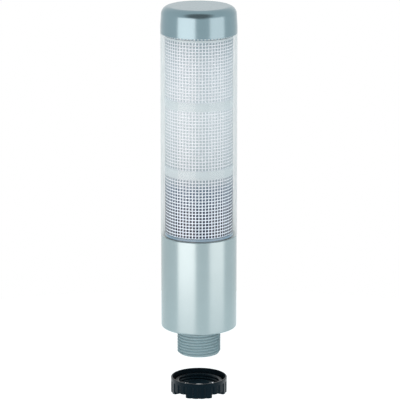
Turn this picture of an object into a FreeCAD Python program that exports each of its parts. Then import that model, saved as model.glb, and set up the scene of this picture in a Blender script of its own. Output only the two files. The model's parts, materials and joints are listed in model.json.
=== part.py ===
"""Compact three-tier LED stack light for one-hole mounting, with its ring nut.

Millimetres, +Z up the tower. The origin is the centre of the seat under the
base, where the light stands on its panel. The threaded stub points down through
the panel, and the ring nut waits below it on the same axis.
"""
import FreeCAD, Part
import math
import os

V = FreeCAD.Vector
ORIGIN = V(0, 0, 0)
UP = V(0, 0, 1)
OUT = "parts"

# Bearings are in degrees from +X. The front of the light looks along -Y.
POST_BEARINGS = [90.0, 210.0, 330.0]
BOSS_BEARINGS = [30.0, 150.0, 270.0]
LUG_BEARINGS = [30.0, 150.0, 270.0]
HOOK_BEARINGS = [90.0, 210.0, 330.0]
STRIP_BEARINGS = [30.0, 150.0, 270.0]
HALF_SIDE = 180.0 / len(STRIP_BEARINGS)

# ---- running and assembly clearances -------------------------------------------------
slide_gap = 0.1
close_gap = 0.03
insert_gap = 0.2
lug_gap = 0.15

# ---- threaded foot: M22 x 1.5 stub with a way through it for the leads ---------------
thread_radius = 11.0
stub_length = 14.1
stub_chamfer = 0.8
lead_way_radius = 8.0
lead_way_flare = 0.5
neck_shoulder = 0.5
neck_recess = 0.1
flange_thickness = 2.4
boss_radius = 1.7
boss_height = 4.9

# ---- base housing --------------------------------------------------------------------
base_radius = 19.1
base_height = 48.2
base_wall = 1.8
base_floor = 3.2
base_foot_round = 0.9
base_rim_bevel = 0.35
collar_depth = 1.2
post_radius = 2.2
post_rib = 1.4

# ---- panel gasket and the screws that it covers --------------------------------------
gasket_thickness = 1.6
gasket_width = 4.0
gasket_rim = 1.2
foot_screw_radius = 0.9
foot_screw_head = 1.6
foot_screw_length = 6.6
foot_screw_drive = 0.6

# ---- lens ----------------------------------------------------------------------------
lens_step = 0.15
lens_draft = 0.1
lens_wall = 2.0
lens_edge = 0.2
tier_count = 3
rows_per_tier = 19
row_pitch = 1.59
facet_columns = 64
grid_step = 0.1
row_relief = 0.35
column_relief = 0.35
band_height = 4.4
grid_bottom_margin = 1.4
grid_top_margin = 2.2
ledge_lift = 1.0
skirt_length = 12.0
skirt_wall = 1.4
seal_zone = 6.0
seal_height = 1.6
seal_drop = 2.2
lug_height = 1.8
lug_lift = 1.6
lug_sweep = 24.0
lug_turn = 30.0
lug_ease = 1.0

# ---- cap -----------------------------------------------------------------------------
cap_step = 0.05
cap_height = 13.5
cap_straight = 3.4
cap_draft = 0.6
cap_round = 4.2
cap_wall = 2.0
cap_guide_length = 5.5
cap_guide_wall = 1.3
cap_shelf = 1.0
snap_bead = 0.22
snap_bead_height = 0.7
cap_seal_height = 0.7
cap_seal_width = 1.0

# ---- light column --------------------------------------------------------------------
mast_flat = 2.6
mast_corner = 4.2
strip_width = 4.6
strip_thickness = 0.8
led_width = 2.8
led_height = 0.8
leds_per_strip = 4
spigot_radius = 2.2
spigot_length = 5.0
buffer_thickness = 1.6
buffer_wall = 1.9
divider_thickness = 1.2
divider_hub_wall = 1.1
divider_hub_height = 3.0
divider_lug_sweep = 20.0

# ---- carrier that closes the foot of the lens ----------------------------------------
carrier_disc = 1.5
carrier_wall = 1.4
carrier_hook = 0.7
carrier_hook_height = 1.2
carrier_hook_sweep = 30.0
pocket_wall = 1.6
pocket_height = 2.4
link_board_radius = 9.0
link_board_thickness = 1.2
link_board_drop = 1.5
peg_radius = 0.9
peg_circle = 7.0
peg_head = 0.6

# ---- electronics in the base ---------------------------------------------------------
board_thickness = 1.6
board_edge = 1.9
board_headroom = 0.6
contact_count = 5
contact_pitch = 2.54
contact_width = 0.64
contact_reach = 4.8
header_height = 2.5
header_width = 2.5
socket_height = 8.5
socket_width = 5.0
socket_hole = 0.8
socket_end = 0.635
terminal_count = 5
terminal_pitch = 3.5
terminal_depth = 7.0
terminal_height = 8.0
terminal_offset = 4.0
terminal_chamfer = 1.0
terminal_mouth = 2.6
terminal_mouth_height = 3.4
terminal_mouth_depth = 4.8
terminal_mouth_sill = 1.2
clamp_thickness = 0.8
clamp_depth = 4.0
terminal_screw_radius = 1.2
terminal_screw_sink = 0.6
screw_slot_width = 0.5
screw_slot_depth = 0.5
capacitor_offset = 8.0
capacitor_radius = 3.15
capacitor_height = 7.0
capacitor_groove = 0.25
capacitor_groove_lift = 1.0
capacitor_groove_height = 0.75
driver_count = 3
driver_length = 5.0
driver_width = 4.0
driver_height = 1.5
component_gap = 0.9
lead_notch_radius = 3.4
board_screw_radius = 1.1
board_screw_head = 2.0
board_screw_head_height = 1.4
board_screw_length = 6.0

# ---- ring nut ------------------------------------------------------------------------
nut_parted = 13.05
nut_radius = 14.3
nut_height = 7.8
nut_running_gap = 0.1
nut_rim_wall = 0.7
nut_rim_taper = 0.3
nut_rim_edge = 0.25
nut_collar_wall = 1.0
nut_collar_drop = 1.9
nut_collar_bevel = 0.4
nut_groove_depth = 3.4
nut_flutes = 24
nut_flute_depth = 0.45
nut_flute_radius = 1.1
nut_band = 1.9
nut_tabs = 4
nut_tab_height = 1.6
nut_notch_sweep = 32.0

# ---- radii that follow from the sizes above ------------------------------------------
base_bore = base_radius - base_wall
collar_bore = base_bore - collar_depth
neck_radius = thread_radius + neck_shoulder
neck_hole = neck_radius + slide_gap
gasket_outer = base_radius - gasket_rim
gasket_inner = gasket_outer - gasket_width
boss_circle = base_bore - slide_gap - boss_radius
lens_radius = base_radius + lens_step
lens_top_radius = lens_radius - lens_draft
lens_bore = lens_radius - lens_wall
grid_radius = lens_bore - grid_step
tube_way = grid_radius - row_relief - column_relief - insert_gap
skirt_radius = base_bore - slide_gap
skirt_low_radius = collar_bore - slide_gap
skirt_bore = skirt_low_radius - skirt_wall
cap_radius = lens_top_radius + cap_step
cap_shoulder = cap_radius - cap_draft
plug_radius = lens_bore - slide_gap
cap_seal_middle = (plug_radius + lens_top_radius) / 2
spigot_hole = spigot_radius + slide_gap
cap_boss = spigot_hole + buffer_wall
board_radius = collar_bore - insert_gap
post_circle = board_radius - board_edge
carrier_radius = skirt_bore - slide_gap
carrier_bore = carrier_radius - carrier_wall
strip_face = mast_flat + strip_thickness
column_reach = math.hypot(strip_face + led_height, led_width / 2)
column_way = column_reach + slide_gap
nut_bore = thread_radius + nut_running_gap

# ---- heights that follow -------------------------------------------------------------
flange_top = base_floor + flange_thickness
tier_height = rows_per_tier * row_pitch
first_tier = base_height + grid_bottom_margin
tier_bottoms = [first_tier + i * (tier_height + band_height) for i in range(tier_count)]
lens_top = tier_bottoms[-1] + tier_height + grid_top_margin
snap_height = lens_top - grid_top_margin / 2
ledge = base_height + ledge_lift
skirt_bottom = base_height - skirt_length
collar_top = base_height - seal_zone
lug_bottom = skirt_bottom + lug_lift
seal_top = base_height - seal_drop
seal_bottom = seal_top - seal_height
carrier_top = ledge + carrier_disc
carrier_bottom = skirt_bottom - close_gap - carrier_hook_height
link_board_top = ledge - link_board_drop
link_board_bottom = link_board_top - link_board_thickness
board_top = carrier_bottom - board_headroom - terminal_height
board_bottom = board_top - board_thickness
socket_top = board_top + socket_height
cap_top = lens_top + cap_height
cap_ceiling = cap_top - cap_wall
mast_shoulder = snap_height - buffer_thickness
mast_top = mast_shoulder + spigot_length
nut_top = -stub_length - nut_parted
nut_bottom = nut_top - nut_height


# ---- shapes that the pieces are made of ----------------------------------------------

def polar(radius, bearing, height=0.0):
    """A point given by its distance from the axis, its bearing and its height."""
    angle = math.radians(bearing)
    return V(radius * math.cos(angle), radius * math.sin(angle), height)


def turned(section, sweep=360.0, middle=0.0):
    """A solid turned about the axis from half a section of (radius, height) points."""
    corners = [V(radius, 0, height) for radius, height in section]
    solid = Part.Face(Part.makePolygon(corners + corners[:1])).revolve(ORIGIN, UP, sweep)
    solid.rotate(ORIGIN, UP, middle - sweep / 2)
    return solid


def sector(outer, inner, bottom, top, middle=0.0, sweep=360.0):
    """A ring, or the piece of one that is centred on a bearing."""
    return turned([(inner, bottom), (outer, bottom), (outer, top), (inner, top)], sweep, middle)


def bar(radius, bottom, top, place=ORIGIN):
    """An upright round bar."""
    return Part.makeCylinder(radius, top - bottom, V(place.x, place.y, bottom))


def taper(low_radius, high_radius, bottom, top, place=ORIGIN):
    """An upright round taper."""
    return Part.makeCone(low_radius, high_radius, top - bottom, V(place.x, place.y, bottom))


def block(x_size, y_size, bottom, top, x_middle=0.0, y_middle=0.0):
    """An upright block."""
    corner = V(x_middle - x_size / 2, y_middle - y_size / 2, bottom)
    return Part.makeBox(x_size, y_size, top - bottom, corner)


def at_bearing(shape, bearing):
    """A copy of a shape that was drawn on +X, turned to its bearing."""
    copy = shape.copy()
    copy.rotate(ORIGIN, UP, bearing)
    return copy


def at_bearings(shape, bearings):
    """One copy of the shape at each bearing."""
    return [at_bearing(shape, bearing) for bearing in bearings]


def evenly(count):
    """Bearings that share out the circle."""
    return [i * 360.0 / count for i in range(count)]


def in_row(count, step, middle=0.0):
    """Places along a line, evenly spaced about its middle."""
    return [middle + (i - (count - 1) / 2) * step for i in range(count)]


def rounded(solid, size, radius, height):
    """The solid with its circular edge of that radius and height rounded."""
    found = []
    for edge in solid.Edges:
        round_edge = hasattr(edge.Curve, "Radius") and abs(edge.Curve.Radius - radius) < 1e-6
        if round_edge and abs(edge.Vertexes[0].Z - height) < 1e-6:
            found.append(edge)
    return solid.makeFillet(size, found)


# ---- threaded foot, its screws and the gasket over them ------------------------------

def threaded_foot():
    """The stub, its neck in the floor of the base, and a flange that clears the posts."""
    flange_radius = base_bore - insert_gap
    foot = turned([
        (lead_way_radius + lead_way_flare, -stub_length),
        (thread_radius - stub_chamfer, -stub_length),
        (thread_radius, stub_chamfer - stub_length),
        (thread_radius, neck_recess),
        (neck_radius, neck_recess),
        (neck_radius, base_floor),
        (flange_radius, base_floor),
        (flange_radius, flange_top),
        (lead_way_radius + lead_way_flare, flange_top),
        (lead_way_radius, flange_top - lead_way_flare),
        (lead_way_radius, lead_way_flare - stub_length),
    ])
    notch_radius = post_radius + insert_gap
    notch = bar(notch_radius, base_floor, flange_top, V(post_circle, 0, 0))
    mouth = block(base_bore, 2 * notch_radius, base_floor, flange_top, post_circle + base_bore / 2)
    boss = bar(boss_radius, base_floor, flange_top + boss_height, V(boss_circle, 0, 0))
    hole = bar(foot_screw_radius + close_gap, base_floor, flange_top + boss_height, V(boss_circle, 0, 0))
    foot = foot.cut(at_bearings(notch.fuse(mouth), POST_BEARINGS))
    foot = foot.fuse(at_bearings(boss, BOSS_BEARINGS))
    return foot.cut(at_bearings(hole, BOSS_BEARINGS)).removeSplitter()


def foot_screws():
    """The countersunk screws that are driven up through the floor under the gasket."""
    neck = gasket_thickness + foot_screw_head - foot_screw_radius
    place = V(boss_circle, 0, 0)
    head = taper(foot_screw_head, foot_screw_radius, gasket_thickness, neck, place)
    shank = bar(foot_screw_radius, neck, gasket_thickness + foot_screw_length, place)
    drive = bar(foot_screw_drive, gasket_thickness, (gasket_thickness + neck) / 2, place)
    return Part.makeCompound(at_bearings(head.fuse(shank).cut(drive), BOSS_BEARINGS))


def panel_gasket():
    """The flat rubber ring that seals the base to its panel."""
    return sector(gasket_outer - slide_gap, gasket_inner + slide_gap, 0, gasket_thickness)


# ---- base housing --------------------------------------------------------------------

def bayonet_slots():
    """An upright entry and a level track for each lug of the lens."""
    slots = []
    deep = collar_bore - slide_gap
    low = lug_bottom - lug_gap
    high = lug_bottom + lug_height + lug_gap
    for bearing in LUG_BEARINGS:
        slots.append(sector(base_bore, deep, low, collar_top, bearing - lug_turn, lug_sweep + 2 * lug_ease))
        slots.append(sector(base_bore, deep, low, high, bearing - lug_turn / 2,
                            lug_turn + lug_sweep + 2 * lug_ease))
    return slots


def board_post():
    """One post of the control board, drawn on +X, with its rib to the wall and its pilot hole."""
    rib_end = base_bore + base_wall / 2
    post = bar(post_radius, base_floor, board_bottom, V(post_circle, 0, 0))
    rib = block(rib_end - post_circle, post_rib, base_floor, board_bottom, (rib_end + post_circle) / 2)
    pilot = bar(board_screw_radius + close_gap, board_bottom - board_screw_length, board_bottom,
                V(post_circle, 0, 0))
    return post.fuse(rib).cut(pilot)


def base_housing():
    """The painted tube with its floor, its posts and the slotted bayonet collar."""
    tube = turned([
        (neck_hole, 0),
        (base_radius, 0),
        (base_radius, base_height - base_rim_bevel),
        (base_radius - base_rim_bevel, base_height),
        (base_bore, base_height),
        (base_bore, collar_top),
        (collar_bore, collar_top),
        (collar_bore, skirt_bottom),
        (base_bore, skirt_bottom - collar_depth),
        (base_bore, base_floor),
        (neck_hole, base_floor),
    ])
    housing = rounded(tube, min(base_foot_round, base_floor / 2, gasket_rim - insert_gap), base_radius, 0)
    housing = housing.fuse(at_bearings(board_post(), POST_BEARINGS))
    way = foot_screw_radius + slide_gap
    head = foot_screw_head + slide_gap
    place = V(boss_circle, 0, 0)
    sink = taper(head, way, gasket_thickness, gasket_thickness + head - way, place)
    hole = bar(way, gasket_thickness, base_floor, place).fuse(sink)
    groove = sector(gasket_outer, gasket_inner, 0, gasket_thickness)
    return housing.cut([groove] + at_bearings(hole, BOSS_BEARINGS) + bayonet_slots()).removeSplitter()


# ---- lens ----------------------------------------------------------------------------

def facet_outline(row, height):
    """The inner wall at one row edge: a star, pulled in at every second row edge."""
    squeeze = 1 - (row % 2) * row_relief / grid_radius
    corners = []
    for column in range(facet_columns):
        radius = (grid_radius - (column % 2) * column_relief) * squeeze
        corners.append(polar(radius, column * 360.0 / facet_columns, height))
    return Part.makePolygon(corners + corners[:1])


def tier_hollow(bottom):
    """The inside of one tier, whose wall is a grid of facets that lean four ways by turns."""
    outlines = [facet_outline(row, bottom + row * row_pitch) for row in range(rows_per_tier + 1)]
    return Part.makeLoft(outlines, True, True)


def lens():
    """The clear tube: smooth outside, gridded inside in tiers, on a bayonet skirt."""
    blank = turned([
        (0, skirt_bottom),
        (skirt_low_radius, skirt_bottom),
        (skirt_low_radius, collar_top + lug_gap),
        (skirt_radius, collar_top + lug_gap),
        (skirt_radius, seal_bottom),
        (skirt_low_radius, seal_bottom),
        (skirt_low_radius, seal_top),
        (skirt_radius, seal_top),
        (skirt_radius, base_height),
        (lens_radius - lens_edge, base_height),
        (lens_radius, base_height + lens_edge),
        (lens_top_radius, lens_top - lens_edge),
        (lens_top_radius - lens_edge, lens_top),
        (0, lens_top),
    ])
    lug = sector(skirt_radius, skirt_bore, lug_bottom, lug_bottom + lug_height, 0, lug_sweep)
    blank = blank.fuse(at_bearings(lug, LUG_BEARINGS))
    snap = snap_bead_height / 2
    hollows = [
        bar(skirt_bore, skirt_bottom, ledge),
        bar(lens_bore, ledge, first_tier),
        bar(lens_bore, tier_bottoms[-1] + tier_height, lens_top),
        bar(lens_bore + snap_bead, snap_height - snap, snap_height + snap),
    ]
    hollows += [bar(lens_bore, bottom - band_height, bottom) for bottom in tier_bottoms[1:]]
    hollows += [tier_hollow(bottom) for bottom in tier_bottoms]
    for hollow in hollows:
        blank = blank.cut(hollow)
    return blank


def base_seal():
    """The ring that seals the lens's skirt in the bore of the base."""
    return sector(base_bore - close_gap, skirt_low_radius + close_gap,
                  seal_bottom + close_gap, seal_top - close_gap)


# ---- cap -----------------------------------------------------------------------------

def cap():
    """The painted cover: a drafted shell with a plug, a snap bead and a socket for the mast."""
    seal_outer = cap_seal_middle + cap_seal_width / 2
    seal_inner = cap_seal_middle - cap_seal_width / 2
    seal_ceiling = lens_top + cap_seal_height
    hollow = cap_shoulder - cap_wall
    guide_bore = tube_way - cap_guide_wall
    plug_bottom = lens_top - grid_top_margin + slide_gap
    bead = snap_bead - close_gap
    snap = snap_bead_height / 3
    cover = turned([
        (cap_radius, lens_top),
        (cap_radius, lens_top + cap_straight),
        (cap_shoulder, cap_top),
        (0, cap_top),
        (0, mast_top + insert_gap),
        (spigot_hole, mast_top + insert_gap),
        (spigot_hole, snap_height),
        (cap_boss, snap_height),
        (cap_boss, cap_ceiling),
        (hollow, cap_ceiling),
        (hollow, lens_top + cap_shelf),
        (guide_bore, lens_top + cap_shelf),
        (guide_bore, lens_top - cap_guide_length),
        (tube_way, lens_top - cap_guide_length),
        (tube_way, plug_bottom),
        (plug_radius, plug_bottom),
        (plug_radius, snap_height - snap),
        (plug_radius + bead, snap_height),
        (plug_radius, snap_height + snap),
        (plug_radius, lens_top),
        (seal_inner, lens_top),
        (seal_inner, seal_ceiling),
        (seal_outer, seal_ceiling),
        (seal_outer, lens_top),
    ])
    cover = rounded(cover, min(cap_round, cap_height - cap_straight - cap_wall / 2), cap_shoulder, cap_top)
    return rounded(cover, max(cap_round - cap_wall, cap_wall / 4), hollow, cap_ceiling)


def cap_seal():
    """The flat ring in the cap's foot that presses on the top of the lens."""
    half = cap_seal_width / 2 - close_gap
    return sector(cap_seal_middle + half, cap_seal_middle - half, lens_top,
                  lens_top + cap_seal_height - close_gap)


# ---- light column --------------------------------------------------------------------

def mast():
    """The three-sided post that carries the LED strips, with a spigot for the cap."""
    reach = mast_flat / math.cos(math.radians(HALF_SIDE))
    corners = [polar(reach, bearing + HALF_SIDE, carrier_top) for bearing in STRIP_BEARINGS]
    prism = Part.Face(Part.makePolygon(corners + corners[:1])).extrude(V(0, 0, mast_shoulder - carrier_top))
    post = prism.common(bar(mast_corner, carrier_top, mast_shoulder))
    return post.fuse(bar(spigot_radius, mast_shoulder, mast_top))


def led_strip(bearing):
    """A narrow circuit board on one side of the mast, down to the link board."""
    strip = block(strip_thickness, strip_width, link_board_top, mast_shoulder - close_gap,
                  mast_flat + strip_thickness / 2)
    return at_bearing(strip, bearing)


def tier_leds(bottom):
    """The LEDs of one tier, evenly spaced on every strip."""
    leds = []
    for height in in_row(leds_per_strip, tier_height / leds_per_strip, bottom + tier_height / 2):
        led = block(led_height, led_width, height - led_width / 2, height + led_width / 2,
                    strip_face + led_height / 2)
        leds += at_bearings(led, STRIP_BEARINGS)
    return Part.makeCompound(leds)


def divider(band_bottom):
    """A disc that keeps one tier's light out of the next, with a hub that grips the mast."""
    top = band_bottom + (band_height + divider_thickness) / 2
    hub_bottom = top - divider_hub_height
    plate = sector(tube_way, column_way, top - divider_thickness, top)
    hub = sector(column_way + divider_hub_wall, column_way, hub_bottom, top)
    lug = sector(column_way + divider_hub_wall / 2, mast_corner + close_gap, hub_bottom, top,
                 HALF_SIDE, divider_lug_sweep)
    return plate.fuse([hub] + at_bearings(lug, STRIP_BEARINGS)).removeSplitter()


def mast_buffer():
    """The soft ring that takes up the play between the mast and the cap."""
    return sector(cap_boss, spigot_radius + close_gap, mast_shoulder, snap_height)


# ---- carrier under the light column --------------------------------------------------

def light_carrier():
    """The dark cup that closes the foot of the lens, holds the mast and hooks under the skirt."""
    cup = turned([
        (0, ledge),
        (carrier_bore, ledge),
        (carrier_bore, carrier_bottom),
        (carrier_radius, carrier_bottom),
        (carrier_radius, ledge),
        (tube_way, ledge),
        (tube_way, carrier_top),
        (0, carrier_top),
    ])
    pocket = sector(column_way + pocket_wall, column_way, ledge + carrier_disc / 2,
                    carrier_top + pocket_height)
    hook = sector(carrier_radius + carrier_hook, carrier_bore, carrier_bottom,
                  carrier_bottom + carrier_hook_height, 0, carrier_hook_sweep)
    peg = bar(peg_radius, link_board_bottom - peg_head, ledge + carrier_disc / 2, V(peg_circle, 0, 0))
    slot = block(strip_thickness + 2 * close_gap, strip_width + 2 * close_gap, ledge, carrier_top,
                 mast_flat + strip_thickness / 2)
    cup = cup.fuse([pocket] + at_bearings(hook, HOOK_BEARINGS) + at_bearings(peg, HOOK_BEARINGS))
    return cup.cut(at_bearings(slot, STRIP_BEARINGS)).removeSplitter()


def contact_blocks(width, bottom, top):
    """One square block at each contact."""
    return [block(width, width, bottom, top, place) for place in in_row(contact_count, contact_pitch)]


def link_board():
    """The small round board that joins the LED strips to the contacts."""
    board = bar(link_board_radius, link_board_bottom, link_board_top)
    hole = bar(peg_radius + close_gap, link_board_bottom, link_board_top, V(peg_circle, 0, 0))
    ways = contact_blocks(contact_width + 2 * close_gap, link_board_bottom, link_board_top)
    return board.cut(at_bearings(hole, HOOK_BEARINGS) + ways)


def contact_header():
    """The insulating strip that spaces the contacts under the link board."""
    bottom = link_board_bottom - header_height
    strip = block(contact_count * contact_pitch, header_width, bottom, link_board_bottom)
    return strip.cut(contact_blocks(contact_width + 2 * close_gap, bottom, link_board_bottom))


def contact_pins():
    """The square contacts that plug into the socket of the control board."""
    return Part.makeCompound(contact_blocks(contact_width, socket_top - contact_reach, link_board_top))


# ---- electronics in the base ---------------------------------------------------------

def control_board():
    """The round board on the posts, notched where the leads come up."""
    board = bar(board_radius, board_bottom, board_top)
    notch = bar(lead_notch_radius, board_bottom, board_top, V(0, -board_radius, 0))
    hole = bar(board_screw_radius + slide_gap, board_bottom, board_top, V(post_circle, 0, 0))
    return board.cut([notch] + at_bearings(hole, POST_BEARINGS))


def board_screws():
    """The pan-head screws that hold the control board on its posts."""
    place = V(post_circle, 0, 0)
    top = board_top + board_screw_head_height
    head = bar(board_screw_head, board_top, top, place)
    slot = block(2 * board_screw_head, screw_slot_width, top - screw_slot_depth, top, post_circle)
    shank = bar(board_screw_radius, board_top - board_screw_length, board_top, place)
    return Part.makeCompound(at_bearings(head.fuse(shank).cut(slot), POST_BEARINGS))


def contact_socket():
    """The socket on the control board that takes the contacts."""
    body = block(contact_count * contact_pitch + 2 * socket_end, socket_width, board_top, socket_top)
    depth = min(contact_reach + insert_gap, socket_height - insert_gap)
    return body.cut(contact_blocks(socket_hole, socket_top - depth, socket_top))


TERMINAL_MIDDLE = -terminal_offset - terminal_depth / 2
TERMINAL_FRONT = -terminal_offset - terminal_depth


def terminal_block():
    """The body of the lead terminals: a mouth at the front and a screw hole above for each."""
    top = board_top + terminal_height
    sill = board_top + terminal_mouth_sill
    body = block(terminal_count * terminal_pitch, terminal_depth, board_top, top, 0, TERMINAL_MIDDLE)
    bevel = Part.Face(Part.makePolygon([
        V(0, TERMINAL_FRONT, top - terminal_chamfer),
        V(0, TERMINAL_FRONT, top),
        V(0, TERMINAL_FRONT + terminal_chamfer, top),
        V(0, TERMINAL_FRONT, top - terminal_chamfer),
    ])).extrude(V(terminal_count * terminal_pitch, 0, 0))
    bevel.translate(V(-terminal_count * terminal_pitch / 2, 0, 0))
    cuts = [bevel]
    for place in in_row(terminal_count, terminal_pitch):
        cuts.append(block(terminal_mouth, terminal_mouth_depth, sill, sill + terminal_mouth_height, place,
                          TERMINAL_FRONT + terminal_mouth_depth / 2))
        cuts.append(bar(terminal_screw_radius + slide_gap, sill, top, V(place, TERMINAL_MIDDLE, 0)))
    return body.cut(cuts)


def terminal_clamps():
    """The metal plate that each terminal screw presses on its lead."""
    top = board_top + terminal_mouth_sill + terminal_mouth_height - close_gap
    return Part.makeCompound([
        block(terminal_mouth - 2 * slide_gap, clamp_depth, top - clamp_thickness, top, place,
              TERMINAL_FRONT + terminal_mouth_depth - slide_gap - clamp_depth / 2)
        for place in in_row(terminal_count, terminal_pitch)])


def terminal_screws():
    """The slotted screws of the terminals."""
    bottom = board_top + terminal_mouth_sill + terminal_mouth_height - close_gap
    top = board_top + terminal_height - terminal_screw_sink
    screws = []
    for place in in_row(terminal_count, terminal_pitch):
        screw = bar(terminal_screw_radius, bottom, top, V(place, TERMINAL_MIDDLE, 0))
        slot = block(2 * terminal_screw_radius, screw_slot_width, top - screw_slot_depth, top, place,
                     TERMINAL_MIDDLE)
        screws.append(screw.cut(slot))
    return Part.makeCompound(screws)


COMPONENT_ROW = socket_width / 2 + component_gap + capacitor_radius


def capacitor():
    """The storage capacitor that stands on the control board, with the groove round its foot."""
    place = V(-capacitor_offset, COMPONENT_ROW, 0)
    can = bar(capacitor_radius, board_top, board_top + capacitor_height, place)
    bottom = board_top + capacitor_groove_lift
    ditch = sector(capacitor_radius + slide_gap, capacitor_radius - capacitor_groove,
                   bottom, bottom + capacitor_groove_height)
    ditch.translate(place)
    return can.cut(ditch)


def driver_chips():
    """The small packages that switch the tiers."""
    step = driver_length + component_gap
    first = -capacitor_offset + capacitor_radius + (component_gap + driver_length) / 2
    return Part.makeCompound([
        block(driver_length, driver_width, board_top, board_top + driver_height, first + i * step,
              COMPONENT_ROW)
        for i in range(driver_count)])


# ---- ring nut ------------------------------------------------------------------------

def ring_nut():
    """The fluted nut: a cupped rim, a bevelled collar round the thread and tabs below."""
    rim = nut_radius - nut_rim_wall
    collar = nut_bore + nut_collar_wall
    collar_top_height = nut_top - nut_collar_drop
    groove_floor = nut_top - nut_groove_depth
    body = turned([
        (nut_bore, nut_bottom),
        (nut_radius, nut_bottom),
        (nut_radius, nut_top - nut_rim_edge),
        (nut_radius - nut_rim_edge, nut_top),
        (rim, nut_top),
        (rim - nut_rim_taper, groove_floor),
        (collar, groove_floor),
        (collar, collar_top_height - nut_collar_bevel),
        (collar - nut_collar_bevel, collar_top_height),
        (nut_bore, collar_top_height),
    ])
    flute = bar(nut_flute_radius, nut_bottom, nut_top - nut_band,
                V(nut_radius + nut_flute_radius - nut_flute_depth, 0, 0))
    notch = sector(nut_radius + nut_flute_radius, nut_bore - nut_flute_radius, nut_bottom,
                   nut_bottom + nut_tab_height, 180.0 / nut_tabs, nut_notch_sweep)
    body = body.cut(at_bearings(flute, evenly(nut_flutes)))
    return body.cut(at_bearings(notch, evenly(nut_tabs)))


# ---- the sub-parts -------------------------------------------------------------------

def sub_parts():
    """Every sub-part by name."""
    parts = {
        "threaded_foot": threaded_foot(),
        "foot_screws": foot_screws(),
        "panel_gasket": panel_gasket(),
        "base_housing": base_housing(),
        "lens": lens(),
        "base_seal": base_seal(),
        "cap": cap(),
        "cap_seal": cap_seal(),
        "mast": mast(),
        "mast_buffer": mast_buffer(),
        "light_carrier": light_carrier(),
        "link_board": link_board(),
        "contact_header": contact_header(),
        "contact_pins": contact_pins(),
        "control_board": control_board(),
        "board_screws": board_screws(),
        "contact_socket": contact_socket(),
        "terminal_block": terminal_block(),
        "terminal_clamps": terminal_clamps(),
        "terminal_screws": terminal_screws(),
        "capacitor": capacitor(),
        "driver_chips": driver_chips(),
        "ring_nut": ring_nut(),
    }
    for number, bearing in enumerate(STRIP_BEARINGS, 1):
        parts["led_strip_%d" % number] = led_strip(bearing)
    for number, bottom in enumerate(tier_bottoms, 1):
        parts["tier_%d_leds" % number] = tier_leds(bottom)
    for number, bottom in enumerate(tier_bottoms[1:], 1):
        parts["divider_%d" % number] = divider(bottom - band_height)
    return parts


os.makedirs(OUT, exist_ok=True)
for name, shape in sub_parts().items():
    shape.exportStep(os.path.join(OUT, name + ".step"))
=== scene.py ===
"""Dresses a compact three-tier stack light and its ring nut.

Each piece has an operator in the sidebar of the 3D view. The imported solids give
every place and size. Lengths are in metres, +Z up the tower, and -Y is the front.
"""
import json
import math

import bmesh
import bpy
from bpy.props import FloatProperty, FloatVectorProperty, IntProperty, PointerProperty
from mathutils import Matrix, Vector


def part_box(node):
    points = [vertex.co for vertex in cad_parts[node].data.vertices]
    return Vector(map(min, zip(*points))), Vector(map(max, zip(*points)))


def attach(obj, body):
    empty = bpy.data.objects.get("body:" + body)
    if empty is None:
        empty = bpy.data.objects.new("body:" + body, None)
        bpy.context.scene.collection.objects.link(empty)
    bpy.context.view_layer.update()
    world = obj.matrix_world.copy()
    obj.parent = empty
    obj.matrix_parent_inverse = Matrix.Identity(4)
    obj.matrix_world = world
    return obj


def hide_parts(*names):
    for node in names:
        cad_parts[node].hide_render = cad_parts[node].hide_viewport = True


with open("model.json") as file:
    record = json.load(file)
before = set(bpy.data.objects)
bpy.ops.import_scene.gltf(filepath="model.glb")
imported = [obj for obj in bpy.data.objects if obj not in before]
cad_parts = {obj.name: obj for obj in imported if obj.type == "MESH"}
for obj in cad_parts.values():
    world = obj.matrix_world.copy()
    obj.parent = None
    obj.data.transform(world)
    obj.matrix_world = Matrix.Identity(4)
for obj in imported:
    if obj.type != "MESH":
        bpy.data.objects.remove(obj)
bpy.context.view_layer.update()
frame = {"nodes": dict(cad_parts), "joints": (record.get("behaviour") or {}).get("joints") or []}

bl_info = {
    "name": "Stack light",
    "version": (1, 0, 0),
    "blender": (4, 5, 0),
    "location": "View3D > Sidebar > Stack Light",
    "description": "Clear gridded lens, painted cover and base, threaded foot and ring nut",
    "category": "Object",
}

MM = 0.001
UP = Vector((0, 0, 1))
LIGHT = "light"
NUT = "nut"


# ---- sizes taken from the solids -----------------------------------------------------

BASE_LOW, BASE_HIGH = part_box("base_housing")
LENS_LOW, LENS_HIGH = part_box("lens")
NUT_LOW, NUT_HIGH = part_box("ring_nut")
CAP_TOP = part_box("cap")[1].z
FOOT_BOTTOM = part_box("threaded_foot")[0].z
CARRIER_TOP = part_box("light_carrier")[1].z

# Heights on the lens, down from the base's rim or from the top of the carrier.
CARRIER_RISE = 3.9 * MM
SEAL_DROP = 2.2 * MM
SEAL_HEIGHT = 1.6 * MM
SHOULDER_DROP = 5.85 * MM
LENS_EDGE = 0.2 * MM
# Inside these radii, and between these heights, the cap and the base show their dark moulding.
CAP_INSIDE = 17.0 * MM
CAP_SHELF = 1.5 * MM
CAP_CEILING = 1.0 * MM
BASE_INSIDE = 17.5 * MM
BASE_RIM = 0.1 * MM
BELOW_BASE = 1.0 * MM
# The stub's thread ends this far above the seat, and the nut's lies between these heights, up from
# its foot and down from its top.
NECK_RECESS = 0.1 * MM
NUT_TABS = 1.6 * MM
NUT_COLLAR_DROP = 1.9 * MM


# ---- settings ------------------------------------------------------------------------

def length(name, description, default):
    """A size in metres."""
    return FloatProperty(name=name, description=description, default=default, min=0.0,
                         unit="LENGTH", precision=5)


def colour(name, description, default):
    """A base colour."""
    return FloatVectorProperty(name=name, description=description, default=default, min=0.0,
                               max=1.0, subtype="COLOR", size=3)


def amount(name, description, default):
    """A share from 0 to 1."""
    return FloatProperty(name=name, description=description, default=default, min=0.0, max=1.0,
                         subtype="FACTOR")


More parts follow.
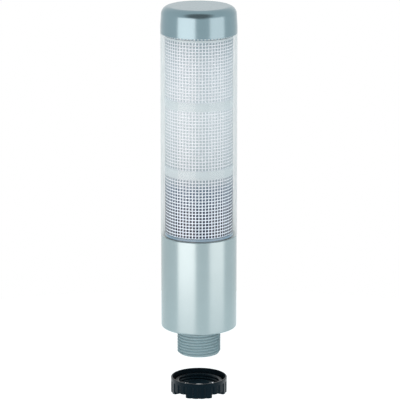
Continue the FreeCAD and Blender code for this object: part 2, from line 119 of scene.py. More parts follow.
class LensSettings(bpy.types.PropertyGroup):
    """The clear tube and the cells on its inner wall."""
    cells_round: IntProperty(name="Cells round", description="Cells in one row of the lens",
                             default=64)
    rows: IntProperty(name="Rows", description="Rows of cells in one tier", default=19)
    tiers: IntProperty(name="Tiers", description="Tiers of the lens", default=3)
    row_pitch: length("Row pitch", "Height of one row of cells", 1.59 * MM)
    band_height: length("Band height", "Height of the smooth band between two tiers", 4.4 * MM)
    low_margin: length("Lower margin", "Smooth wall between the base's rim and the first tier",
                       1.4 * MM)
    ridge_radius: length("Ridge radius", "Distance of the ridge tops from the axis", 16.6 * MM)
    ridge_height: length("Ridge height", "Height of the ridges over the rims of the dishes",
                         0.42 * MM)
    dish_depth: length("Dish depth", "Depth of a cell's dish inside its rim", 0.16 * MM)
    bore_radius: length("Bore radius", "Radius of the smooth bands inside", 17.25 * MM)
    skirt_bore: length("Skirt bore", "Inner radius of the skirt in the base", 14.6 * MM)
    skirt_low_radius: length("Lower skirt radius", "Outer radius of the skirt under its seal",
                             16.0 * MM)
    skirt_radius: length("Skirt radius", "Outer radius of the skirt in the bore of the base",
                         17.2 * MM)
    draft: length("Draft", "How much the outer wall narrows towards the top", 0.1 * MM)


class ThreadSettings(bpy.types.PropertyGroup):
    """The M22 x 1.5 thread of the foot and the nut."""
    pitch: length("Pitch", "Rise of the thread in one turn", 1.5 * MM)
    crest_radius: length("Crest radius", "Outside radius of the foot's thread", 11.0 * MM)
    root_radius: length("Root radius", "Radius at the bottom of the foot's thread", 10.1 * MM)
    lead_in: length("Lead-in", "How far the thread is chamfered at its lower end", 0.8 * MM)
    nut_crest_radius: length("Nut crest radius", "Inside radius of the nut's thread", 10.3 * MM)
    nut_root_radius: length("Nut root radius",
                            "Radius inside the nut's wall that the thread starts from", 11.3 * MM)


class ColourSettings(bpy.types.PropertyGroup):
    """The finishes."""
    base_paint: colour("Base paint", "Silver paint of the base", (0.35, 0.452, 0.475))
    cap_paint: colour("Cap paint", "Silver paint of the cap", (0.225, 0.33, 0.37))
    paint_metal: amount("Paint metal", "How metallic the silver paint is", 0.9)
    base_roughness: amount("Base roughness", "Roughness of the paint on the base", 0.25)
    cap_roughness: amount("Cap roughness", "Roughness of the paint on the cap", 0.20)
    lens_wall: colour("Lens wall", "Veil of the clear wall", (0.74, 0.84, 0.85))
    lens_ridge: colour("Lens ridges", "Light that the ridges of the upper tiers catch",
                       (0.765, 0.755, 0.75))
    low_ridge: colour("Low ridges", "Light that the ridges of the lowest tier catch",
                      (0.88, 0.905, 0.91))
    lens_band: colour("Lens bands", "Light that the smooth bands catch", (0.575, 0.62, 0.61))
    foot: colour("Foot", "Plastic of the threaded foot", (0.42, 0.60, 0.65))
    nut: colour("Nut", "Plastic of the ring nut", (0.005, 0.011, 0.016))


class StageSettings(bpy.types.PropertyGroup):
    """Camera, floor and lamps."""
    distance: length("Distance", "From the camera to the point it looks at", 1.355)
    aim_height: length("Aim height", "Height on the axis that the camera looks at", 65.6 * MM)
    pitch: FloatProperty(name="Pitch", description="How steeply the camera looks down",
                         default=math.radians(13.85), subtype="ANGLE")
    focal_length: FloatProperty(name="Focal length",
                                description="Lens of the camera, for a 36 mm sensor",
                                default=242.1, unit="CAMERA")
    side_shift: FloatProperty(name="Side shift",
                              description="Share of the frame that the view moves right",
                              default=0.00275)
    floor_drop: length("Floor drop", "From the nut down to the floor", 60 * MM)
    floor_radius: length("Floor radius", "Radius of the floor", 0.40)
    room_light: FloatProperty(name="Room light",
                              description="Light from all round on matt surfaces", default=1.0)
    room_shade: colour("Room shade", "Colour of the light from all round", (0.79, 0.955, 1.0))
    lamp_shade: colour("Lamp shade", "Colour of the lamps", (1.0, 0.79, 0.735))
    wall_dark: amount("Wall dark", "How much dimmer the walls are than the floor", 0.5)
    ceiling_dark: amount("Ceiling dark", "How much dimmer it is overhead", 0.75)
    side_dark: amount("Side dark", "How much dimmer the walls at the sides are", 0.75)
    corner_dark: amount("Corner dark", "How much dimmer it is on the right behind", 0.5)
    backdrop_light: FloatProperty(name="Backdrop light", description="Light from behind",
                                  default=0.62)


# ---- writing shaders -----------------------------------------------------------------

class Socket:
    """A value in a material. Arithmetic on it adds Math nodes."""

    def __init__(self, sheet, socket):
        self.sheet = sheet
        self.socket = socket

    def math(self, operation, *others):
        """A Math node of that operation on this value and the others."""
        return self.sheet.math(operation, self, *others)

    def __add__(self, other):
        return self.math("ADD", other)

    def __sub__(self, other):
        return self.math("SUBTRACT", other)

    def __mul__(self, other):
        return self.math("MULTIPLY", other)

    def __truediv__(self, other):
        return self.math("DIVIDE", other)

    def __rsub__(self, other):
        return self.sheet.math("SUBTRACT", other, self)

    def __rtruediv__(self, other):
        return self.sheet.math("DIVIDE", other, self)

    def __gt__(self, other):
        return self.math("GREATER_THAN", other)

    def __lt__(self, other):
        return self.math("LESS_THAN", other)

    __radd__ = __add__
    __rmul__ = __mul__

    def smooth(self, low, high):
        """0 at low, 1 at high, and eased between."""
        return self.sheet.node("ShaderNodeMapRange", {"interpolation_type": "SMOOTHSTEP"},
                               {"Value": self, "From Min": low, "From Max": high})


class Sheet:
    """A material's nodes."""

    def __init__(self, name, tree=None):
        if tree is None:
            self.material = bpy.data.materials.new(name)
            self.material.use_nodes = True
            tree = self.material.node_tree
        self.tree = tree
        self.tree.nodes.clear()

    def node(self, kind, settings=None, inputs=None, output=0):
        """A node of that kind, its settings and the values or links of its sockets."""
        made = self.tree.nodes.new(kind)
        for name, value in (settings or {}).items():
            if name == "stops":
                ramp = made.color_ramp.elements
                while len(ramp) < len(value):
                    ramp.new(0.5)
                for stop, (place, shade) in zip(ramp, value):
                    stop.position = place
                    stop.color = shade
            else:
                setattr(made, name, value)
        for name, value in (inputs or {}).items():
            if isinstance(value, Socket):
                self.tree.links.new(value.socket, made.inputs[name])
            else:
                made.inputs[name].default_value = value
        return Socket(self, made.outputs[output])

    def math(self, operation, *values):
        """A Math node of that operation on these values."""
        return self.node("ShaderNodeMath", {"operation": operation}, dict(enumerate(values)))

    def place(self):
        """Object coordinates."""
        return self.node("ShaderNodeTexCoord", output="Object")

    def parts(self, vector):
        """The x, y and z of a vector."""
        made = self.node("ShaderNodeSeparateXYZ", inputs={"Vector": vector})
        return [Socket(self, made.socket.node.outputs[axis]) for axis in "XYZ"]

    def round_place(self):
        """Distance from the axis, angle round it and height, in metres and radians."""
        x, y, z = self.parts(self.place())
        return (x * x + y * y).math("SQRT"), y.math("ARCTAN2", x), z

    def looked_at(self):
        """1 for what is seen directly, through a clear wall or in a reflection.

        0 for the light on the pieces.
        """
        made = self.node("ShaderNodeLightPath").socket.node
        camera, clear, mirrored = [Socket(self, made.outputs[kind]) for kind in (
            "Is Camera Ray", "Is Transmission Ray", "Is Glossy Ray")]
        return camera.math("MAXIMUM", clear).math("MAXIMUM", mirrored)

    def light_rays(self):
        """1 for the rays that carry light through a clear wall, and 0 for what is seen."""
        return self.node("ShaderNodeLightPath", output="Is Shadow Ray")

    def noise(self, scale, detail):
        """Noise from 0 to 1, scale features to the metre."""
        return self.node("ShaderNodeTexNoise", inputs={
            "Vector": self.place(), "Scale": scale, "Detail": detail})

    def mix(self, share, first, second):
        """A colour between two."""
        return self.node("ShaderNodeMix", {"data_type": "RGBA"}, {0: share, 6: first, 7: second},
                         output=2)

    def bump(self, height, strength, distance):
        """A normal from a height."""
        return self.node("ShaderNodeBump", inputs={
            "Height": height, "Strength": strength, "Distance": distance})

    def finish(self, **inputs):
        """The surface: a principled shader with these inputs."""
        named = {name.replace("_", " ").title().replace("Ior", "IOR"): value
                 for name, value in inputs.items()}
        self.end("ShaderNodeOutputMaterial", self.node("ShaderNodeBsdfPrincipled", inputs=named))
        return self.material

    def end(self, kind, surface):
        """Sends a shader to the output."""
        made = self.tree.nodes.new(kind)
        self.tree.links.new(surface.socket, made.inputs["Surface"])


def rgba(shade, level=1.0):
    """A colour at a level, with full alpha."""
    return (*[min(1.0, part * level) for part in shade[:3]], 1.0)


# ---- finishes ------------------------------------------------------------------------

# Silver paint: scales of its flakes and clouds, how far its tone and roughness change with them,
# and the dark moulding inside.
FLAKE_SCALE = 5200.0
CLOUD_SCALE = 60.0
PAINT_CHANGE = 0.08
FLAKE_ROUGHNESS = 0.06
FLAKE_RELIEF = 0.12
FLAKE_HEIGHT = 0.02 * MM
MOULDING_SHADE = (0.03, 0.035, 0.045, 1.0)

# Clear wall: how much of it is veiled head on, how much more at its edges, where that starts and
# is full, the waves in it, how far it clears for lamp light, and the gloss over it.
WALL_VEIL = 0.02
WALL_EDGE = 0.68
WALL_FACING = (0.34, 0.76)
WALL_WAVES = 0.03
WALL_WAVE_SCALE = 90.0
WALL_CLEARED = 0.9
WALL_ROUGHNESS = 0.3
# Painted glow of the clear wall's veil.
WALL_PAINTED_GLOW = 0.10
GLOSS_ROUGHNESS = 0.06
GLOSS_IOR = 1.6
GLOSS_SHARE = 0.45

# Gridded wall: how far its ridges, cells and bands cover what is behind them and clear for lamp
# light, where a cell starts and is full under its rim, where the light painted on the tiers' ridges
# changes colour, a painted glow that stands in for light that the clear moulding gathers from all
# round, the cap's teeth painted on the top of the lens as if seen through it, and the painted shade
# under the lowest tier.
RIDGE_COVER = 0.92
CELL_COVER = 0.92
BAND_COVER = 0.86
COVER_CLEARED = 0.5
CELL_START = 0.24 * MM
CELL_FULL = 0.10 * MM
LOW_RIDGES = (0.16, 0.30)
GRID_ROUGHNESS = 0.22
GRID_SPECULAR = 0.15
# Painted glow: emission that stands in for light gathered by the clear moulding, and its tint.
GRID_PAINTED_GLOW = 0.38
PAINTED_GLOW_TINT = (0.85, 1.0, 1.15)
# Painted teeth of the cap on the top of the lens, as if seen through it: count, edge, height,
# shade.
CAP_TEETH = 60
TEETH_EDGE = 0.3
TEETH_HEIGHT = 1.2 * MM
PAINTED_TEETH_SHADE = (0.30, 0.40, 0.44, 1)
# Painted shade under the lowest tier: on the band at its foot and on the ledge.
LENS_FOOT_PAINTED_SHADE = (0.08, 0.13, 0.17, 1)
LEDGE_PAINTED_SHADE = (0.42, 0.50, 0.54, 1)
# Radii and heights this near a wall's or a tier's edge count as inside it.
WALL_SKIN = 0.03 * MM
TIER_SKIN = 0.05 * MM
# Painted shade of the cells, by height from the foot of the lowest tier to the top of the lens:
# their colour stands in for the dark inside seen through them. Those near the foot show the dark
# cup.
CELL_PAINTED_SHADES = [
    (0.0, (0.001, 0.010, 0.040, 1)),
    (0.13, (0.003, 0.016, 0.050, 1)),
    (0.24, (0.075, 0.12, 0.165, 1)),
    (0.30, (0.317, 0.365, 0.370, 1)),
    (0.45, (0.423, 0.466, 0.468, 1)),
    (0.62, (0.487, 0.527, 0.526, 1)),
    (0.86, (0.434, 0.477, 0.487, 1)),
    (1.0, (0.254, 0.314, 0.331, 1)),
]

# Mouldings and metal: how far tone and roughness change with the grain, and its relief.
TONE_CHANGE = 0.08
TONE_SHARE = 12.0
GRAIN_ROUGHNESS = 0.1
GRAIN_RELIEF = 0.05
GRAIN_HEIGHT = 0.03 * MM
NUT_GRAIN = 1400.0
NUT_GLINT = (0.07, 0.17, 0.23, 1)


def silver_paint(name, paint_shade, metal_share, roughness, inside_radius, inside_low, inside_top):
    """Satin silver paint with fine flakes, over a dark moulding that shows inside."""
    sheet = Sheet(name)
    radius, _, z = sheet.round_place()
    inside = (radius < inside_radius) * (z > inside_low) * (z < inside_top)
    flakes = sheet.noise(FLAKE_SCALE, 1.0)
    cloud = sheet.noise(CLOUD_SCALE, 2.0)
    paint = sheet.mix(flakes * 0.5 + cloud * 0.5, rgba(paint_shade, 1 - PAINT_CHANGE),
                      rgba(paint_shade, 1 + PAINT_CHANGE))
    base = sheet.mix(inside, paint, MOULDING_SHADE)
    metal = (1 - inside) * metal_share
    rough = roughness + (flakes - 0.5) * FLAKE_ROUGHNESS
    return sheet.finish(base_color=base, metallic=metal, roughness=rough,
                        normal=sheet.bump(flakes, FLAKE_RELIEF, FLAKE_HEIGHT))


def clear_wall(colours):
    """The polished outside of the clear tube: see-through head on, veiled at its edges."""
    sheet = Sheet("clear_lens_wall")
    facing = sheet.node("ShaderNodeLayerWeight", inputs={"Blend": 0.5}, output="Facing")
    waves = sheet.noise(WALL_WAVE_SCALE, 1.0)
    veil = WALL_VEIL + facing.smooth(*WALL_FACING) * WALL_EDGE + (waves - 0.5) * WALL_WAVES
    veil = veil * (1 - sheet.light_rays() * WALL_CLEARED)
    # The veil carries a painted glow in its own colour.
    body = sheet.node("ShaderNodeBsdfPrincipled", inputs={
        "Base Color": rgba(colours.lens_wall), "Roughness": WALL_ROUGHNESS, "Alpha": veil,
        "Emission Color": rgba(colours.lens_wall), "Emission Strength": WALL_PAINTED_GLOW})
    gloss = sheet.node("ShaderNodeBsdfGlossy", inputs={
        "Color": (1, 1, 1, 1), "Roughness": GLOSS_ROUGHNESS})
    mirror = sheet.node("ShaderNodeFresnel", inputs={"IOR": GLOSS_IOR})
    sheet.end("ShaderNodeOutputMaterial", sheet.node("ShaderNodeMixShader", inputs={
        0: mirror * GLOSS_SHARE, 1: body, 2: gloss}))
    return sheet.material


def gridded_wall(colours, lens, low, high):
    """The inside of the clear tube: ridges with painted light and a painted glow, and cells over
    the dark cup painted with its shade.
    """
    sheet = Sheet("gridded_lens_wall")
    radius, angle, z = sheet.round_place()
    rim = lens.ridge_radius + lens.ridge_height
    cell = radius.smooth(rim - CELL_START, rim - CELL_FULL)
    band = radius > (lens.bore_radius - WALL_SKIN)
    height = (z - low) / (high - low)
    # Painted shade: the cells' tone by height stands in for the dark inside seen through them.
    depth = sheet.node("ShaderNodeValToRGB", {"stops": CELL_PAINTED_SHADES}, {"Fac": height})
    ridge = sheet.mix(height.smooth(*LOW_RIDGES), rgba(colours.low_ridge), rgba(colours.lens_ridge))
    shade = sheet.mix(cell, ridge, depth)
    shade = sheet.mix(band, shade, rgba(colours.lens_band))
    # Painted shade under the lowest tier: dark on the band at its foot, mid grey on the ledge.
    shade = sheet.mix(z < low - TIER_SKIN, shade, sheet.mix(band, LEDGE_PAINTED_SHADE, LENS_FOOT_PAINTED_SHADE))
    # Painted view of the cap's teeth, as if seen through the top of the lens.
    painted_teeth = (angle * CAP_TEETH).math("SINE").smooth(-TEETH_EDGE, TEETH_EDGE)
    shade = sheet.mix(painted_teeth * (z > high - TEETH_HEIGHT), shade, PAINTED_TEETH_SHADE)
    cover = RIDGE_COVER - cell * (RIDGE_COVER - CELL_COVER)
    cover = cover * (1 - band) + band * BAND_COVER
    cover = cover * (1 - sheet.light_rays() * COVER_CLEARED)
    # Painted glow of the ridges and cells, bluer than their colour.
    painted_glow = sheet.node("ShaderNodeVectorMath", {"operation": "MULTIPLY"},
                      {0: shade, 1: PAINTED_GLOW_TINT})
    return sheet.finish(base_color=shade, roughness=GRID_ROUGHNESS, alpha=cover,
                        emission_color=painted_glow, emission_strength=GRID_PAINTED_GLOW,
                        specular_ior_level=GRID_SPECULAR)


def plain(name, shade, roughness, metallic=0.0, grain=900.0, glint=(1, 1, 1, 1)):
    """A moulded or metal finish with a fine grain and a slight change of tone."""
    sheet = Sheet(name)
    grain_noise = sheet.noise(grain, 3.0)
    tone = sheet.noise(grain / TONE_SHARE, 2.0)
    base = sheet.mix(tone, rgba(shade, 1 - TONE_CHANGE), rgba(shade, 1 + TONE_CHANGE))
    return sheet.finish(base_color=base, metallic=metallic, specular_tint=glint,
                        roughness=roughness + (grain_noise - 0.5) * GRAIN_ROUGHNESS,
                        normal=sheet.bump(grain_noise, GRAIN_RELIEF, GRAIN_HEIGHT))


# ---- shaping meshes ------------------------------------------------------------------

SEAM = 2e-7
CREASE = math.radians(28)
LENS_CREASE = math.radians(20)


def on_turn(radius, height, angle=0.0):
    """A point from its distance to the axis, height and angle."""
    return Vector((radius * math.cos(angle), radius * math.sin(angle), height))


def add_line(shape, points):
    """Edges through these (radius, height) points."""
    corners = [shape.verts.new(on_turn(radius, height)) for radius, height in points]
    edges = [shape.edges.new(pair) for pair in zip(corners, corners[1:])]
    return corners, edges


def spin_line(shape, points, steps):
    """The surface that an open line leaves in a full turn."""
    corners, edges = add_line(shape, points)
    bmesh.ops.spin(shape, geom=corners + edges, cent=(0, 0, 0), axis=UP, dvec=(0, 0, 0),
                   angle=math.tau, steps=steps, use_merge=True)


def close_up(shape):
    """Merges seams and turns the faces outwards."""
    bmesh.ops.remove_doubles(shape, verts=shape.verts[:], dist=SEAM)
    bmesh.ops.recalc_face_normals(shape, faces=shape.faces[:])


def finish_piece(name, shape, material, body, crease=CREASE):
    """Makes the object, shades it smooth between its sharp edges and hangs it on its body."""
    for face in shape.faces:
        face.smooth = True
    for edge in shape.edges:
        if len(edge.link_faces) == 2:
            edge.smooth = edge.calc_face_angle() < crease
    mesh = bpy.data.meshes.new(name)
    shape.to_mesh(mesh)
    shape.free()
    mesh.materials.append(material)
    piece = bpy.data.objects.new(name, mesh)
    bpy.context.scene.collection.objects.link(piece)
    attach(piece, body)
    return piece


def dress(node, material):
    """Gives a solid its finish."""
    piece = frame["nodes"][node]
    piece.data.materials.clear()
    piece.data.materials.append(material)


# ---- lens ----------------------------------------------------------------------------

# A cell is a grid of faces: its dish reaches this share of the way from its middle to its ridges.
CELL_STEPS = 4
DISH_SHARE = 0.56
CELL_REACH = (0.0, DISH_SHARE, 1.0)
# What lies farther out than this from the bore is the outside of the clear tube.
INSIDE_SKIN = 0.5 * MM


def add_cells(shape, lens, bottoms):
    """The grid of dished cells between ridges on the inner wall, one tier above each bottom."""
    cell = math.tau / lens.cells_round
    made = bmesh.ops.create_grid(shape, x_segments=CELL_STEPS, y_segments=CELL_STEPS, size=1.0)
    corners = made["verts"]
    for corner in corners:
        u, v = [math.copysign(CELL_REACH[round(abs(side) * CELL_STEPS / 2)], side)
                for side in corner.co[:2]]
        reach = max(abs(u), abs(v))
        depth = lens.ridge_height if reach < 1.0 else 0.0
        if reach < DISH_SHARE:
            depth += lens.dish_depth
        corner.co = on_turn(lens.ridge_radius + depth, bottoms[0] + lens.row_pitch * (v + 1) / 2,
                            cell * (u + 1) / 2)
    first = shape.faces[:]
    for bottom in bottoms:
        for row in range(lens.rows):
            rise = bottom - bottoms[0] + row * lens.row_pitch
            if rise > 0:
                copy = bmesh.ops.duplicate(shape, geom=first)
                moved = [part for part in copy["geom"] if isinstance(part, bmesh.types.BMVert)]
                bmesh.ops.translate(shape, vec=UP * rise, verts=moved)
    everything = shape.verts[:] + shape.edges[:] + shape.faces[:]
    bmesh.ops.spin(shape, geom=everything, cent=(0, 0, 0), axis=UP, dvec=(0, 0, 0),
                   angle=math.tau - cell, steps=lens.cells_round - 1, use_duplicate=True)


class STACKLIGHT_OT_lens(bpy.types.Operator):
    """Make the clear lens with its cells"""
    bl_idname = "stacklight.lens"
    bl_label = "Lens"

    def execute(self, context):
        lens = context.scene.stack_light_lens
        tier = lens.rows * lens.row_pitch
        first = BASE_HIGH.z + lens.low_margin
        bottoms = [first + i * (tier + lens.band_height) for i in range(lens.tiers)]
        top = LENS_HIGH.z
        outside = LENS_HIGH.x
        ledge = CARRIER_TOP - CARRIER_RISE
        seal_top = BASE_HIGH.z - SEAL_DROP
        seal_low = seal_top - SEAL_HEIGHT
        shoulder = BASE_HIGH.z - SHOULDER_DROP
        inside = lens.bore_radius + INSIDE_SKIN
        steps = CELL_STEPS * lens.cells_round
        shape = bmesh.new()
        add_cells(shape, lens, bottoms)
        cells = lens.ridge_radius
        bore = lens.bore_radius
        for bottom in bottoms[1:]:
            spin_line(shape, [(cells, bottom), (bore, bottom), (bore, bottom - lens.band_height),
                              (cells, bottom - lens.band_height)], steps)
        last = bottoms[-1] + tier
        spin_line(shape, [
            (cells, last), (bore, last), (bore, top),
            (outside - lens.draft - LENS_EDGE, top), (outside - lens.draft, top - LENS_EDGE),
            (outside, BASE_HIGH.z + LENS_EDGE), (outside - LENS_EDGE, BASE_HIGH.z),
            (lens.skirt_radius, BASE_HIGH.z), (lens.skirt_radius, seal_top),
            (lens.skirt_low_radius, seal_top), (lens.skirt_low_radius, seal_low),
            (lens.skirt_radius, seal_low), (lens.skirt_radius, shoulder),
            (lens.skirt_low_radius, shoulder), (lens.skirt_low_radius, LENS_LOW.z),
            (lens.skirt_bore, LENS_LOW.z), (lens.skirt_bore, ledge), (bore, ledge),
            (bore, first), (cells, first)], steps)
        close_up(shape)
        for face in shape.faces:
            place = face.calc_center_median()
            face.material_index = int(place.xy.length < inside)
        colours = context.scene.stack_light_colours
        piece = finish_piece("clear_lens", shape, clear_wall(colours), LIGHT,
                             LENS_CREASE)
        piece.data.materials.append(gridded_wall(colours, lens, first, top))
        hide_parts("lens")
        return {"FINISHED"}


class STACKLIGHT_OT_covers(bpy.types.Operator):
    """Paint the cap and the base"""
    bl_idname = "stacklight.covers"
    bl_label = "Cap and base"

    def execute(self, context):
        colours = context.scene.stack_light_colours
        dress("cap", silver_paint(
            "cap_silver_paint", colours.cap_paint, colours.paint_metal, colours.cap_roughness,
            CAP_INSIDE, LENS_HIGH.z + CAP_SHELF, CAP_TOP - CAP_CEILING))
        dress("base_housing", silver_paint(
            "base_silver_paint", colours.base_paint, colours.paint_metal, colours.base_roughness,
            BASE_INSIDE, BASE_LOW.z - BELOW_BASE, BASE_HIGH.z - BASE_RIM))
        return {"FINISHED"}


class STACKLIGHT_OT_inside(bpy.types.Operator):
    """Finish the pieces inside"""
    bl_idname = "stacklight.inside"
    bl_label = "Inside"

    def execute(self, context):
        finishes = {
            "seal": plain("seal_rubber", (0.02, 0.02, 0.02), 0.7),
            "steel": plain("screw_steel", (0.6, 0.6, 0.6), 0.35, metallic=1.0),
            "aluminium": plain("mast_aluminium", (0.8, 0.81, 0.82), 0.4, metallic=0.6),
            "white": plain("white_board", (0.85, 0.86, 0.86), 0.5),
            "led": plain("led_package", (0.86, 0.85, 0.74), 0.3),
            "divider": plain("divider_plastic", (0.84, 0.87, 0.88), 0.4),
            "carrier": plain("carrier_plastic", (0.012, 0.02, 0.035), 0.5),
            "green": plain("green_board", (0.02, 0.16, 0.07), 0.4),
            "black": plain("black_plastic", (0.02, 0.02, 0.02), 0.5),
            "brass": plain("contact_brass", (0.75, 0.6, 0.3), 0.3, metallic=1.0),
            "terminal": plain("terminal_plastic", (0.05, 0.25, 0.1), 0.5),
            "sleeve": plain("capacitor_sleeve", (0.03, 0.04, 0.08), 0.35),
        }
        for node, finish in {
            "panel_gasket": "seal", "base_seal": "seal", "cap_seal": "seal", "mast_buffer": "seal",
            "foot_screws": "steel", "board_screws": "steel", "terminal_screws": "steel",
            "terminal_clamps": "steel", "mast": "aluminium", "led_strip_1": "white",
            "led_strip_2": "white", "led_strip_3": "white", "tier_1_leds": "led",
            "tier_2_leds": "led", "tier_3_leds": "led", "divider_1": "divider",
            "divider_2": "divider", "light_carrier": "carrier", "link_board": "green",
            "control_board": "green", "contact_header": "black", "contact_socket": "black",
            "contact_pins": "brass", "terminal_block": "terminal", "capacitor": "sleeve",
            "driver_chips": "black",
        }.items():
            dress(node, finishes[finish])
        return {"FINISHED"}


# ---- threaded foot and ring nut ------------------------------------------------------

# Shares of the pitch that a ridge of the thread takes up at its crest and at its foot.
THREAD_FLAT = 0.14
THREAD_FOOT = 0.90
TURN_STEPS = 72
THREAD_SINK = 0.2 * MM
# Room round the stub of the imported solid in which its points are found.
STUB_ROOM = 0.1 * MM
NECK_ROOM = 0.05 * MM


def add_thread(shape, thread, crest, root, phase, low, high):
    """A helical ridge between two heights, from its crest down to the root."""
    start = phase - thread.pitch * math.ceil((phase - low) / thread.pitch + 1)
    turns = math.ceil((high - start) / thread.pitch + 1)
    foot = thread.pitch * THREAD_FOOT / 2
    flat = thread.pitch * THREAD_FLAT / 2
    corners, edges = add_line(shape, [(root, start - foot), (crest, start - flat),
                                      (crest, start + flat), (root, start + foot)])
    edges.append(shape.edges.new((corners[-1], corners[0])))
    bmesh.ops.spin(shape, geom=corners + edges, cent=(0, 0, 0), axis=UP,
                   dvec=UP * thread.pitch / TURN_STEPS, angle=math.tau * turns,
                   steps=TURN_STEPS * turns)
    for height, side in ((low, -UP), (high, UP)):
        bmesh.ops.bisect_plane(shape, geom=shape.verts[:] + shape.edges[:] + shape.faces[:],
                               plane_co=(0, 0, height), plane_no=side, clear_outer=True)
        bmesh.ops.holes_fill(shape, edges=[edge for edge in shape.edges if edge.is_boundary])


class STACKLIGHT_OT_foot(bpy.types.Operator):
    """Make the threaded foot"""
    bl_idname = "stacklight.foot"
    bl_label = "Threaded foot"

    def execute(self, context):
        thread = context.scene.stack_light_thread
        colours = context.scene.stack_light_colours
        shape = bmesh.new()
        add_thread(shape, thread, thread.crest_radius, thread.root_radius - THREAD_SINK,
                   FOOT_BOTTOM, FOOT_BOTTOM, NECK_RECESS)
        for corner in shape.verts:
            radius = corner.co.xy.length
            lead = thread.crest_radius - thread.lead_in + (corner.co.z - FOOT_BOTTOM)
            if radius > lead:
                corner.co.xy *= lead / radius
        close_up(shape)
        body = bmesh.new()
        body.from_mesh(frame["nodes"]["threaded_foot"].data)
        close_up(body)
        for corner in body.verts:
            radius = corner.co.xy.length
            stub = thread.root_radius < radius < thread.crest_radius + STUB_ROOM
            if stub and corner.co.z < NECK_RECESS + NECK_ROOM:
                corner.co.xy *= thread.root_radius / radius
        spare = bpy.data.meshes.new("spare")
        body.to_mesh(spare)
        body.free()
        shape.from_mesh(spare)
        bpy.data.meshes.remove(spare)
        piece = finish_piece("threaded_foot_body", shape, plain("foot_plastic", colours.foot, 0.5),
                             LIGHT)
        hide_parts("threaded_foot")
        return {"FINISHED"}


class STACKLIGHT_OT_nut(bpy.types.Operator):
    """Finish the ring nut and cut its thread"""
    bl_idname = "stacklight.nut"
    bl_label = "Ring nut"

    def execute(self, context):
        thread = context.scene.stack_light_thread
        colours = context.scene.stack_light_colours
        finish = plain("nut_plastic", colours.nut, 0.28, grain=NUT_GRAIN, glint=NUT_GLINT)
        dress("ring_nut", finish)
        travel = max(frame["joints"][0]["range_m"])
        shape = bmesh.new()
        # At the end of its travel the nut's ridges lie in the grooves of the foot.
        phase = FOOT_BOTTOM - travel + thread.pitch / 2
        add_thread(shape, thread, thread.nut_crest_radius, thread.nut_root_radius, phase,
                   NUT_LOW.z + NUT_TABS, NUT_HIGH.z - NUT_COLLAR_DROP)
        close_up(shape)
        finish_piece("nut_thread", shape, finish, NUT)
        return {"FINISHED"}


# ---- stage ---------------------------------------------------------------------------

# Name, azimuth and elevation in degrees, distance, width, height and watts of each lamp.
# Azimuth is from the front, positive to the right.
PANEL_LAMPS = (
    ("left_panel", -38, -3, 1.1, 1.15, 0.9, 6.1),
    ("right_panel", 57, -3, 1.1, 1.00, 0.9, 3.5),
)
LAMP_AIM = Vector((0, 0, 65 * MM))
SENSOR_WIDTH = 36.0
FARTHEST_VIEW = 20.0
FLOOR_SIDES = 96
FLOOR_SHADE = (0.9, 0.9, 0.9, 1)
FLOOR_LIFT = 0.8
WHITE = (1, 1, 1, 1)

# The room: how far its ceiling leans to the front, and where each darker part starts and is full,
# as the up, side or back part of a direction.
CEILING_LEAN = math.radians(45)
CEILING = (0.70, 0.93)
WALL_TOP = (-0.25, -0.05)
RIGHT_CORNER = (0.2, 0.8)
CORNER_BACK = (-0.1, 0.5)
SIDE_WALLS = (-0.4, 0.2)
SIDE_TOP = (-0.34, -0.06)
BACKDROP = (0.6, 0.97)
BACKDROP_TOP = (-0.35, 0.2)
BACKDROP_CEILING = (0.42, 0.75)
# Keeps the level part of a direction above 0 straight overhead.
LEVEL_LEAST = 0.001


def aimed(thing, place, target):
    """Puts a lamp or camera at a place, turned to look at a target."""
    thing.location = place
    thing.rotation_euler = (Vector(target) - Vector(place)).to_track_quat("-Z", "Y").to_euler()
    bpy.context.scene.collection.objects.link(thing)
    return thing


def add_lamp(name, azimuth, elevation, distance, width, height, watts, shade):
    """A soft panel lamp that looks at the middle of the tower."""
    lamp = bpy.data.lights.new(name, "AREA")
    lamp.shape = "RECTANGLE"
    lamp.size = width
    lamp.size_y = height
    lamp.energy = watts
    lamp.color = shade
    a, e = math.radians(azimuth), math.radians(elevation)
    place = Vector((math.sin(a) * math.cos(e), -math.cos(a) * math.cos(e), math.sin(e))) * distance
    aimed(bpy.data.objects.new(name, lamp), LAMP_AIM + place, LAMP_AIM)


def studio_world(stage):
    """Light from all round.

    What is seen is white and dimmer overhead. The light on matt surfaces is brighter below and
    pale behind, and dim overhead, at the sides and on the right behind.
    """
    world = bpy.data.worlds.new("studio")
    world.use_nodes = True
    sheet = Sheet(None, world.node_tree)
    side, back, up = sheet.parts(sheet.node("ShaderNodeTexCoord", output="Generated"))
    level = (side * side + back * back).math("SQRT")
    behind = back / (level + LEVEL_LEAST)
    overhead = up * math.cos(CEILING_LEAN) - back * math.sin(CEILING_LEAN)
    ceiling = 1 - overhead.smooth(*CEILING) * stage.ceiling_dark
    room = stage.room_light * (1 - up.smooth(*WALL_TOP) * stage.wall_dark) * ceiling
    corner = side.smooth(*RIGHT_CORNER) * behind.smooth(*CORNER_BACK)
    sides = behind.smooth(*SIDE_WALLS) * up.smooth(*SIDE_TOP)
    room = room * (1 - corner * stage.corner_dark) * (1 - sides * stage.side_dark)
    backdrop = behind.smooth(*BACKDROP) * up.smooth(*BACKDROP_TOP)
    backdrop = backdrop * (1 - overhead.smooth(*BACKDROP_CEILING)) * stage.backdrop_light
    lit = sheet.node("ShaderNodeBackground", inputs={
        "Color": rgba(stage.room_shade), "Strength": room + backdrop})
    seen = sheet.node("ShaderNodeBackground", inputs={"Color": WHITE, "Strength": ceiling})
    sheet.end("ShaderNodeOutputWorld", sheet.node("ShaderNodeMixShader", inputs={
        0: sheet.looked_at(), 1: lit, 2: seen}))
    return world


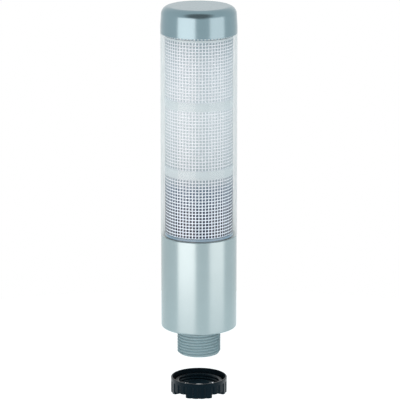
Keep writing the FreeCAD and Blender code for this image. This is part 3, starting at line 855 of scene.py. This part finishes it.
def add_floor(stage):
    """A round sheet of white paper that takes the shadow."""
    shape = bmesh.new()
    bmesh.ops.create_circle(shape, cap_ends=True, segments=FLOOR_SIDES, radius=stage.floor_radius)
    bmesh.ops.translate(shape, verts=shape.verts[:], vec=(0, 0, NUT_LOW.z - stage.floor_drop))
    mesh = bpy.data.meshes.new("floor")
    shape.to_mesh(mesh)
    shape.free()
    floor = bpy.data.objects.new("floor", mesh)
    bpy.context.scene.collection.objects.link(floor)
    sheet = Sheet("floor_paper")
    pale = sheet.node("ShaderNodeBsdfDiffuse", inputs={"Color": FLOOR_SHADE})
    lift = sheet.node("ShaderNodeEmission", inputs={
        "Color": WHITE, "Strength": sheet.looked_at() * FLOOR_LIFT})
    sheet.end("ShaderNodeOutputMaterial", sheet.node("ShaderNodeAddShader", inputs={
        0: pale, 1: lift}))
    mesh.materials.append(sheet.material)


def add_camera(stage):
    """The camera at the front, looking down at the axis."""
    lens = bpy.data.cameras.new("camera")
    lens.lens = stage.focal_length
    lens.sensor_width = SENSOR_WIDTH
    lens.shift_x = stage.side_shift
    lens.clip_end = FARTHEST_VIEW
    target = Vector((0, 0, stage.aim_height))
    back = Vector((0, -math.cos(stage.pitch), math.sin(stage.pitch)))
    return aimed(bpy.data.objects.new("camera", lens), target + back * stage.distance, target)


class STACKLIGHT_OT_stage(bpy.types.Operator):
    """Set the floor, the lamps, the world and the camera"""
    bl_idname = "stacklight.stage"
    bl_label = "Stage"

    def execute(self, context):
        stage = context.scene.stack_light_stage
        scene = context.scene
        scene.view_settings.view_transform = "Standard"
        scene.world = studio_world(stage)
        add_floor(stage)
        for lamp in PANEL_LAMPS:
            add_lamp(*lamp, stage.lamp_shade)
        scene.camera = add_camera(stage)
        return {"FINISHED"}


# ---- panel and start -----------------------------------------------------------------

OPERATORS = (
    STACKLIGHT_OT_lens,
    STACKLIGHT_OT_covers,
    STACKLIGHT_OT_inside,
    STACKLIGHT_OT_foot,
    STACKLIGHT_OT_nut,
    STACKLIGHT_OT_stage,
)
GROUPS = {
    "stack_light_lens": LensSettings,
    "stack_light_thread": ThreadSettings,
    "stack_light_colours": ColourSettings,
    "stack_light_stage": StageSettings,
}


class STACKLIGHT_PT_panel(bpy.types.Panel):
    """Lists the pieces and their settings"""
    bl_idname = "STACKLIGHT_PT_panel"
    bl_label = "Stack Light"
    bl_space_type = "VIEW_3D"
    bl_region_type = "UI"
    bl_category = "Stack Light"

    def draw(self, context):
        for name, group in GROUPS.items():
            box = self.layout.box()
            for key in group.__annotations__:
                box.prop(getattr(context.scene, name), key)
        for operator in OPERATORS:
            self.layout.operator(operator.bl_idname)


def register():
    """Adds the settings, operators and panel to Blender."""
    for name, group in GROUPS.items():
        bpy.utils.register_class(group)
        setattr(bpy.types.Scene, name, PointerProperty(type=group))
    for made in (*OPERATORS, STACKLIGHT_PT_panel):
        bpy.utils.register_class(made)


def unregister():
    """Takes them out again."""
    for made in (STACKLIGHT_PT_panel, *reversed(OPERATORS)):
        bpy.utils.unregister_class(made)
    for name, group in GROUPS.items():
        delattr(bpy.types.Scene, name)
        bpy.utils.unregister_class(group)


def main():
    """Makes every piece."""
    register()
    for operator in OPERATORS:
        group, name = operator.bl_idname.split(".")
        getattr(getattr(bpy.ops, group), name)()


if __name__ == "__main__":
    main()
